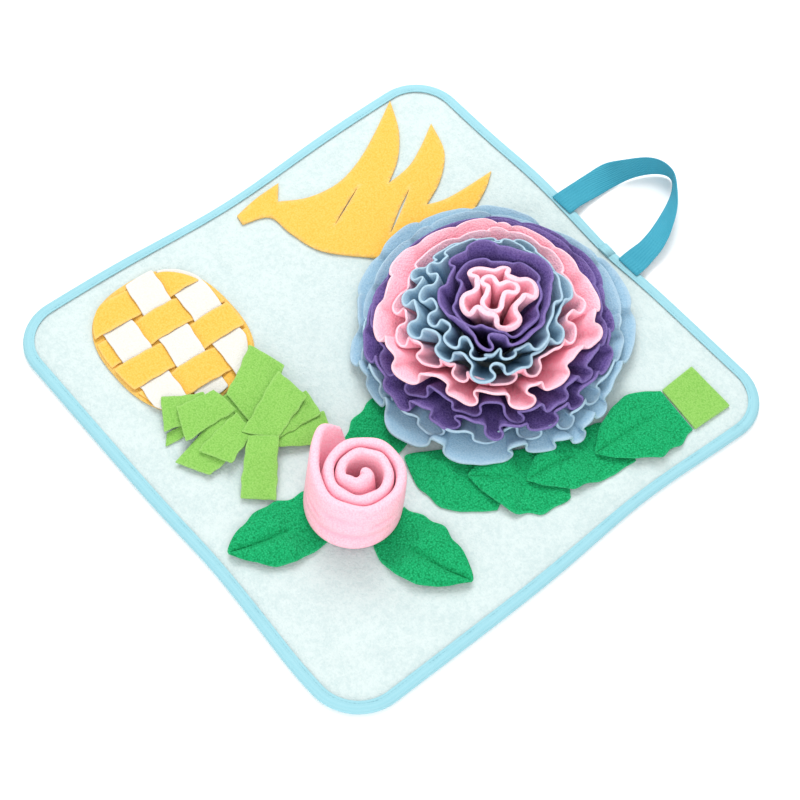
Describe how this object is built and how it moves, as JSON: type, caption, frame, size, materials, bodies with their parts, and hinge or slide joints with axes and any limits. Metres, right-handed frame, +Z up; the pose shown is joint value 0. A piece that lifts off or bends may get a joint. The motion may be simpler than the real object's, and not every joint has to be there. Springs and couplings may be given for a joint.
{
  "type": "snuffle mat",
  "caption": "Square plush mat with a bound edge, a webbing carry loop and sewn-on fleece ruffles, leaves, a rolled rose and woven strips that hide treats.",
  "frame": {"origin": "middle of the mat's underside, on the surface it lies on", "axes": "+X towards the edge beside the leaf garland, +Y towards the edge with the carry loop, +Z up through the mat"},
  "size_m": [0.4999, 0.6026, 0.087],
  "materials": {
    "plush": "short pale aqua plush",
    "binding": "smooth woven blue tape",
    "webbing": "ribbed woven webbing",
    "banana": "matt yellow fleece",
    "white": "matt white fleece",
    "lime": "matt lime fleece",
    "leaf": "matt green fleece",
    "rose": "matt pink fleece",
    "sky": "matt light blue fleece",
    "violet": "matt purple fleece"
  },
  "bodies": {
    "root": {"mat_panel": "plush", "edge_binding": "binding", "handle": "webbing", "banana_bunch": "banana", "pineapple_base": "banana", "pineapple_warp_1": "banana", "pineapple_warp_2": "banana", "pineapple_warp_3": "banana", "pineapple_warp_4": "banana", "pineapple_weft_1": "white", "pineapple_weft_2": "white", "pineapple_weft_3": "white", "crown_tie": "lime", "crown_1": "lime", "crown_2": "lime", "crown_3": "lime", "crown_4": "lime", "crown_5": "lime", "crown_6": "lime", "crown_7": "lime", "crown_8": "lime", "crown_9": "lime", "crown_10": "lime", "rose_leaf_right": "leaf", "rose_leaf_front": "leaf", "rose_leaf_back": "leaf", "garland_leaf_1": "leaf", "garland_leaf_2": "leaf", "garland_leaf_3": "leaf", "garland_leaf_4": "leaf", "garland_tab": "lime", "rolled_rose": "rose", "frill_1": "sky", "frill_2": "sky", "frill_3": "violet", "frill_4": "violet", "frill_5": "rose", "frill_6": "rose", "frill_7": "sky", "frill_8": "sky", "frill_9": "violet", "frill_10": "violet", "frill_11": "rose", "frill_12": "rose"}
  },
  "joints": []
}
